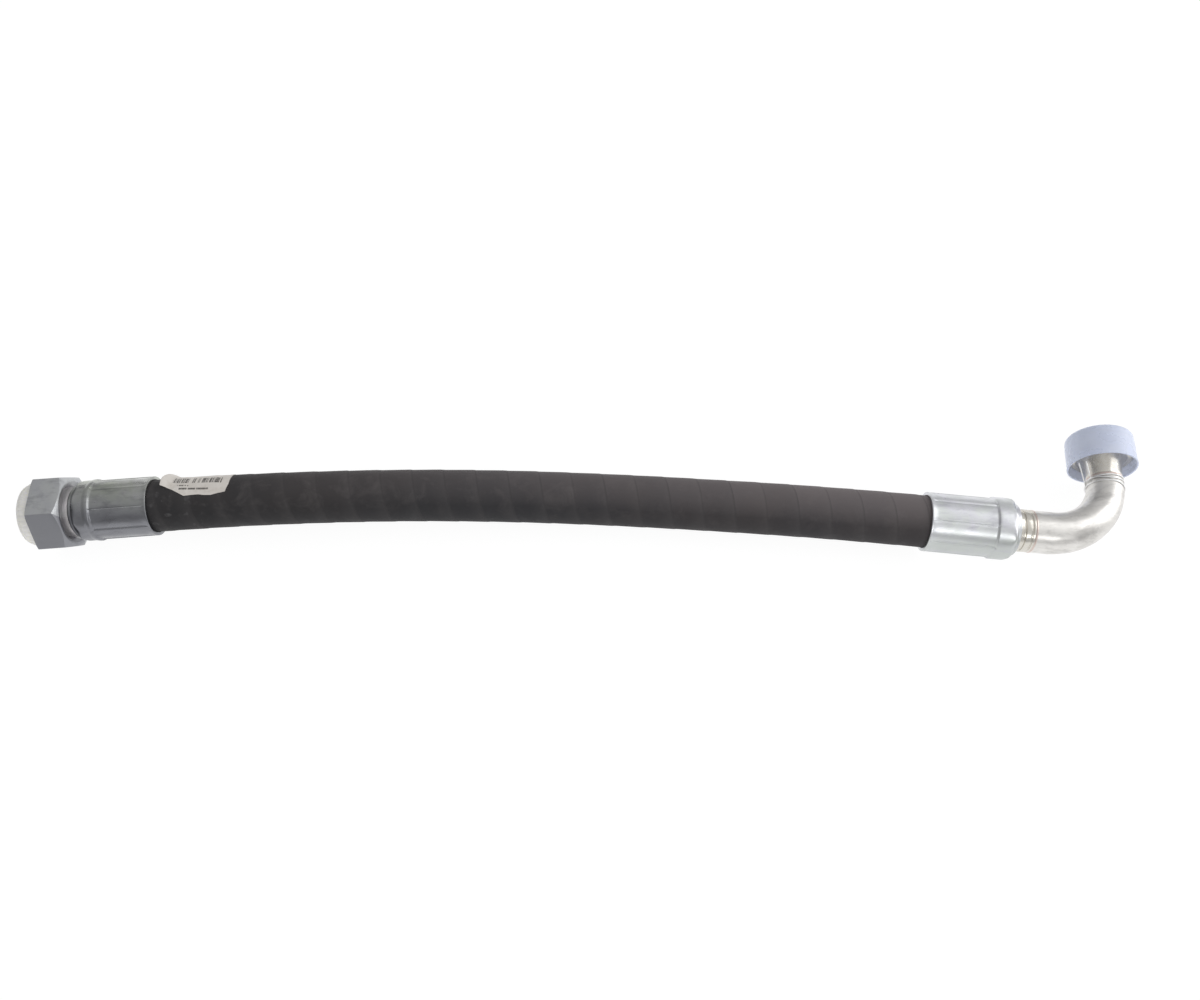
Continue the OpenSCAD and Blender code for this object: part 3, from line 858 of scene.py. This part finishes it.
def make_nut():
    rise = math.tan(math.radians(30))
    front_rise = math.tan(math.radians(20))
    chamfer = 0.48 * NUT_AF

    def front_s(a):
        return max(0, (hexagon(a) - chamfer - 4) * front_rise)

    def rear_s(a):
        return NUT_L - (hexagon(a) - chamfer) * rise

    def face(a, less, s):
        return min(chamfer + 4, hexagon(a)) - less, s

    rows = [
        lambda a: face(a, 0.35, 0),
        lambda a: face(a, 0.1, 0.06),
        lambda a: (hexagon(a) - 0.03, front_s(a) + 0.14),
        lambda a: (hexagon(a), front_s(a) + 0.42),
    ]
    rows += [lambda a, s=s: (hexagon(a), s) for s in (4, 9, 14, 19)]
    rows += [
        lambda a: (hexagon(a), rear_s(a) - 0.35),
        lambda a: (hexagon(a) - 0.05, rear_s(a) - 0.06),
        lambda a: (hexagon(a) - 0.3, rear_s(a) + 0.16),
        (chamfer + 0.25, NUT_L - 0.16),
        (chamfer - 0.1, NUT_L - 0.02),
        (26.7, NUT_L),
        (26.3, NUT_L - 0.2),
        (21.9, NUT_L - 4.7),
        (NECK_R + 0.05, NUT_L - 5.1),
        (NECK_R + 0.05, 17.9),
        (24, 15.35),
        (24, 14.3),
        (THREAD_MINOR_R, 14.05),
    ]
    steps = 52
    for i in range(steps, -1, -1):
        s = 0.9 + 12.9 * i / steps
        rows.append(lambda a, s=s: (thread_radius(s, a) + max(0, 1.5 - s) * 0.9, s))
    rows.append((26.35, 0.1))
    nut = lathe("swivel_nut_machined", rows, nut_at, nut_angles(), 34)
    stand_in(nut, "swivel_nut", nut_steel, "phosphated_nut")


def fluted(r, angle):
    """Radius of the plug's rim with its moulded flutes."""
    pitch = 2 * math.pi / FLUTES
    off = (angle + pitch / 2) % pitch - pitch / 2
    return r - 0.4 * math.exp(-((off * r / 0.75) ** 2))


def make_plug():
    rim = PLUG_D / 2
    t = PLUG_T
    sleeve = THREAD_MINOR_R - 0.3
    outside = [
        (14, -t + 0.5),
        (16, -t + 0.1),
        (rim - 4.4, -t),
        (rim - 2.9, -t + 0.3),
        (rim - 2.1, -t + 1.2),
        (rim - 1.5, -t + 3.2),
        (rim - 0.9, -t + 3.5),
        (rim - 0.35, -t + 5.6),
        (rim - 0.05, -2.4),
        (rim, -0.6),
        (rim - 0.4, -0.1),
    ]
    rows = [(0, -t + 2.3), (8, -t + 2.3), (12, -t + 2.2)]
    for r, s in soften(outside, 0.4):
        if r > rim - 2.6:
            rows.append(lambda a, r=r, s=s: (fluted(r, a), s))
        else:
            rows.append((r, s))
    rows += soften([(sleeve, -0.1), (sleeve, 7.4), (sleeve - 0.8, 8.6), (22.4, 8.6), (22.4, -t + 4.4)], 0.3)
    rows.append((0, -t + 4.4))
    plug = lathe("nut_plug_moulded", rows, nut_at, circle_angles(FLUTES * 10), 45)
    stand_in(plug, "nut_plug", plug_white, "plug_plastic")


# ---------------------------------------------------------------- elbow, flange head and cap


def elbow_half_sizes(u):
    """Half width in the plane of the bend and half height across it, u from 0 to 1 in the turn."""
    w = TUBE_R + (OUTLET_R - TUBE_R) * u**0.8
    h = TUBE_R + (OUTLET_R - TUBE_R) * u + 2.2 * math.sin(math.pi * u)
    return w, h


def make_elbow():
    start = COLLAR_END + BRAZE_T
    bend_start = ELBOW_REACH - BEND_R
    places, sizes = [], []
    for i in range(6):
        places.append(moved(second_mouth, x=start + (bend_start - start) * i / 6))
        sizes.append((TUBE_R, TUBE_R))
    steps = 64
    for i in range(steps + 1):
        a = math.pi / 2 * i / steps
        here = moved(second_mouth, x=bend_start + BEND_R * math.sin(a), y=BEND_R * (1 - math.cos(a)))
        places.append(here @ Matrix.Rotation(a, 4, "Z"))
        sizes.append(elbow_half_sizes(i / steps))
    places.append(moved(places[-1], x=2))
    sizes.append((OUTLET_R, OUTLET_R))

    def section(i, angle):
        w, h = sizes[i]
        k = 1 + 0.005 * noise.noise(Vector((i * 0.16, math.cos(angle) * 1.6, math.sin(angle) * 1.6)))
        return w * k * math.cos(angle), h * k * math.sin(angle)

    elbow = tube("elbow_tube_drawn", places, section, TUBE_WALL, 112)
    stand_in(elbow, "elbow_tube", zinc_tube, "zinc_tube")
    braze_piece("nipple_braze_ring", second_mouth, TUBE_R, COLLAR_END)
    braze_piece("flange_braze_ring", outlet_at, OUTLET_R, BEND_R + 2)


def make_flange():
    start = BEND_R + 2 + BRAZE_T
    back = FACE_REACH - HEAD_T
    r = HEAD_D / 2
    bore = OUTLET_R - TUBE_WALL
    flare = [
        (OUTLET_R + 28.1 + 28.1 * math.cos(math.radians(a)), start + 2.4 + 28.1 * math.sin(math.radians(a)))
        for a in range(180, 144, -3)
    ]
    rows = [(bore, start), (OUTLET_R, start)] + flare
    rows += [(20.6, back - 0.3), (21.6, back), (r - 0.5, back), (r, back + 0.5), (r, FACE_REACH - 0.5)]
    rows += [(r - 0.5, FACE_REACH), (GROOVE_OR, FACE_REACH), (GROOVE_OR, FACE_REACH - GROOVE_DEPTH)]
    rows += [(GROOVE_IR, FACE_REACH - GROOVE_DEPTH), (GROOVE_IR, FACE_REACH)]
    rows += [(bore + 1, FACE_REACH), (bore, FACE_REACH - 1)]
    head = lathe("flange_head_turned", soften(rows, 0.2), outlet_at)
    stand_in(head, "flange_head", turned_zinc, "zinc_head")
    ring_piece("flange_o_ring", outlet_at, 20.35, FACE_REACH - 0.985, 1.765, seal, "seal_rubber")


def make_cap():
    rim = CAP_D / 2
    end = CAP_RIM + CAP_L
    back = FACE_REACH - HEAD_T
    grip = HEAD_D / 2 + 0.3
    inner = rim - 1.6
    outside = [(inner + 0.3, CAP_RIM), (rim - 0.1, CAP_RIM), (rim, CAP_RIM + 0.6), (rim, CAP_RIM + 1.8)]
    outside += [(rim - 0.25, CAP_RIM + 2.6), (rim - 0.35, end - 9.2), (rim - 0.6, end - 8.4)]
    corner = 4.6
    outside += [
        (
            rim - 0.6 - corner + corner * math.cos(math.radians(a)),
            end - corner + corner * math.sin(math.radians(a)),
        )
        for a in range(0, 91, 10)
    ]
    outside += [(15, end), (14.4, end - 0.35), (8, end - 0.35), (0, end - 0.35)]
    inside = [(0, end - 1.9), (8, end - 1.9)]
    inside += [
        (grip - 2.4 + 2.4 * math.cos(math.radians(a)), end - 4 + 2.4 * math.sin(math.radians(a)))
        for a in range(90, -1, -15)
    ]
    inside += [(grip, back - 0.5), (inner, back - 2.5), (inner, CAP_RIM + 0.9)]
    cap = lathe("flange_cap_moulded", soften(outside, 0.3) + inside, outlet_at, circle_angles(144), 60)
    stand_in(cap, "flange_cap", cap_blue, "cap_plastic")


# ---------------------------------------------------------------- tie wire

TIE_R = 0.55


def outlet_surface(t, angle, clear):
    """A point clear millimetres outside the elbow or neck, at station t along the outlet."""
    if t >= BEND_R:
        y = OUTLET_R * math.cos(angle)
        z = OUTLET_R * math.sin(angle)
    else:
        turn = math.acos(1 - t / BEND_R)
        w, h = elbow_half_sizes(turn / (math.pi / 2))
        y = BEND_R * (1 - math.sin(turn)) + w * math.cos(angle)
        z = h * math.sin(angle)
    away = Vector((0, math.cos(angle), math.sin(angle))) * clear
    return outlet_at @ ((Vector((t, y, z)) + away) * MM)


def wire_tube(points):
    """Places along a chain of points for tube(), each with x along the chain."""
    places = []
    for i, p in enumerate(points):
        ahead = points[min(i + 1, len(points) - 1)] - points[max(i - 1, 0)]
        places.append(axes(p, ahead, plane_up))
    return places


def make_tie_wire():
    # angle, station and height above the neck, along the three turns
    keys = [
        (20, 55.2, 0.6), (90, 56, 0.6), (180, 56.2, 0.6), (270, 55.8, 0.6), (380, 55, 1.5),
        (450, 52.4, 0.6), (540, 53, 0.6), (630, 53.4, 0.6), (735, 50.6, 0.7),
        (810, 49.6, 0.6), (900, 45.4, 0.6), (990, 47.5, 0.6), (1085, 51.5, 1.7),
    ]
    points = []
    for (a0, t0, c0), (a1, t1, c1) in zip(keys, keys[1:]):
        for k in range(14):
            u = k / 14
            v = smooth(0, 1, u) * 0.5 + u * 0.5
            a = math.radians(a0 + (a1 - a0) * u)
            points.append(outlet_surface(t0 + (t1 - t0) * v, a, c0 + (c1 - c0) * v))
    start = points[0]
    out = outlet_at.to_3x3()
    first_tail = ((13, 5.5, 7), (9, 4.2, 5.6), (5, 2.6, 3.6), (1.6, 0.9, 1.5))
    head = [start + out @ Vector(v) * MM for v in first_tail]
    end = points[-1]
    last_tail = ((2, 1.2, 1.4), (7, 3.6, 4), (12, 5.2, 6), (17, 7.6, 8.4))
    foot = [end + out @ Vector(v) * MM for v in last_tail]
    chain = head + points + foot
    smoothed = [chain[0]]
    for a, b, c in zip(chain, chain[1:], chain[2:]):
        smoothed.append(a * 0.25 + b * 0.5 + c * 0.25)
    smoothed.append(chain[-1])

    def section(i, angle):
        return TIE_R * math.cos(angle), TIE_R * math.sin(angle)

    wire = tube("tie_wire_wound", wire_tube(smoothed), section, None, 14)
    stand_in(wire, "tie_wire", bright_wire, "wire_metal")


# ---------------------------------------------------------------- label

# station along the hose and angle of the label's lower edge, then of its hidden upper edge
LABEL_LOW = (
    (10.8, 75), (15, 78), (20.5, 84), (31.2, 100.5), (37, 99.4), (43.5, 99), (48, 101), (53.8, 102),
    (60, 98.6), (66, 95.5), (67.9, 78), (68.5, 51),
)
LABEL_HIGH = ((10.8, 74), (12, 60), (14, 44), (17.5, 24), (21, 10), (68.5, 10))


def between(table, s):
    for (s0, v0), (s1, v1) in zip(table, table[1:]):
        if s <= s1:
            return v0 + (v1 - v0) * (s - s0) / (s1 - s0)
    return table[-1][1]


LABEL_T = 0.15
PRINT_SLANT = 0.15  # degrees round the hose for each millimetre along it
DEGREE_L = 0.4  # millimetres of paper for a degree round the hose


def label_height(s, degrees):
    """How far the paper stands off the cover: its first corner is lifted and curled."""
    loose = (1 - smooth(10, 24, s)) * smooth(92, 60, degrees)
    pucker = 0.12 * noise.noise(Vector((s * 0.12, degrees * 0.05, 4)))
    return 0.14 + max(0, pucker) + 6.2 * loose**1.2


def make_label():
    first, last = LABEL_LOW[0][0], LABEL_LOW[-1][0]
    stations = [first + (last - first) * i / 90 for i in range(91)]
    for s, _ in LABEL_LOW:
        stations = [s if abs(s - q) < 0.3 else q for q in stations]
    rows = 30
    points, uvs = [], []
    for skin in (0, 1):
        for s in stations:
            place = on_hose(s)
            low, high = between(LABEL_LOW, s), between(LABEL_HIGH, s)
            for k in range(rows + 1):
                degrees = low + (high - low) * k / rows
                a = math.radians(degrees)
                r = hose_radius(s, a) + label_height(s, degrees) + LABEL_T * (1 - skin)
                points.append(place @ (Vector((0, r * math.cos(a), r * math.sin(a))) * MM))
                uvs.append((s * MM, (degrees - PRINT_SLANT * (s - 20)) * DEGREE_L * MM))
    count = len(stations)

    def at(skin, i, k):
        return (skin * count + i) * (rows + 1) + k

    faces = []
    for i in range(count - 1):
        for k in range(rows):
            faces.append([at(0, i, k), at(0, i + 1, k), at(0, i + 1, k + 1), at(0, i, k + 1)])
            faces.append([at(1, i, k), at(1, i, k + 1), at(1, i + 1, k + 1), at(1, i + 1, k)])
        for k in (0, rows):
            faces.append([at(0, i, k), at(1, i, k), at(1, i + 1, k), at(0, i + 1, k)])
    for i in (0, count - 1):
        for k in range(rows):
            faces.append([at(0, i, k), at(1, i, k), at(1, i, k + 1), at(0, i, k + 1)])
    label = mesh_object("barcode_label_paper", points, faces, uvs, 60)
    turn_outward(label)
    stand_in(label, "barcode_label", paper, "label_paper")
    blended(label)


make_hose()
make_layers()
make_label()
make_ferrule(
    "swivel_ferrule", first_mouth, side=-1, length=SWIVEL_FERRULE_L, crimp=SWIVEL_CRIMP_L,
    turn=25.5, waist=0.7, look=swivel_steel, slot="phosphated_steel",
)
make_ferrule(
    "elbow_ferrule", second_mouth, side=1, length=ELBOW_FERRULE_L, crimp=ELBOW_CRIMP_L,
    turn=22.5, waist=0, look=zinc, slot="zinc_ferrule",
)
make_swivel_nipple()
make_elbow_nipple()
make_nut()
make_plug()
make_elbow()
make_flange()
make_cap()
make_tie_wire()

# ---------------------------------------------------------------- floor and lights


def make_floor():
    half = 3
    corners = [(-half, -half, 0), (half, -half, 0), (half, half, 0), (-half, half, 0)]
    mesh = bpy.data.meshes.new("floor")
    mesh.from_pydata(corners, [], [[0, 1, 2, 3]])
    floor = bpy.data.objects.new("floor", mesh)
    scene.collection.objects.link(floor)
    paint(floor, floor_look())


def area_light(name, place, target, size, power):
    data = bpy.data.lights.new(name, "AREA")
    data.shape = "RECTANGLE"
    data.size, data.size_y = size
    data.energy = power
    light = bpy.data.objects.new(name, data)
    scene.collection.objects.link(light)
    light.location = place
    light.rotation_euler = (Vector(target) - Vector(place)).to_track_quat("-Z", "Y").to_euler()


def world_ramp(tree, value, low, high, to_low, to_high):
    n = tree.nodes.new("ShaderNodeMapRange")
    n.inputs["From Min"].default_value = low
    n.inputs["From Max"].default_value = high
    n.inputs["To Min"].default_value = to_low
    n.inputs["To Max"].default_value = to_high
    tree.links.new(value, n.inputs["Value"])
    return n.outputs[0]


def make_light():
    """A pale room, lighter to the right and overhead, with three soft lamps."""
    world = bpy.data.worlds.new("studio")
    scene.world = world
    world.use_nodes = True
    tree = world.node_tree
    direction = tree.nodes.new("ShaderNodeTexCoord")
    split = tree.nodes.new("ShaderNodeSeparateXYZ")
    tree.links.new(direction.outputs["Generated"], split.inputs[0])
    both = tree.nodes.new("ShaderNodeMath")
    both.operation = "MULTIPLY"
    tree.links.new(world_ramp(tree, split.outputs[0], -0.8, 0.8, 0.36, 0.6), both.inputs[0])
    tree.links.new(world_ramp(tree, split.outputs[2], 0, 1, 0.85, 1.5), both.inputs[1])
    tree.links.new(both.outputs[0], tree.nodes["Background"].inputs["Strength"])
    tree.nodes["Background"].inputs["Color"].default_value = (1, 1, 1, 1)
    area_light("right_box", (1.7, 0.2, 1.2), (0.35, 0, 0), (1.4, 1.4), 8)
    area_light("side_box", (1.5, 0.15, 0.35), (-0.45, 0, 0.03), (0.9, 0.6), 2.4)
    area_light("front_panel", (0.5, -1.2, 0.78), (0.4, 0, 0.02), (0.8, 0.3), 2.2)


make_floor()
make_light()
scene.view_settings.view_transform = "Standard"
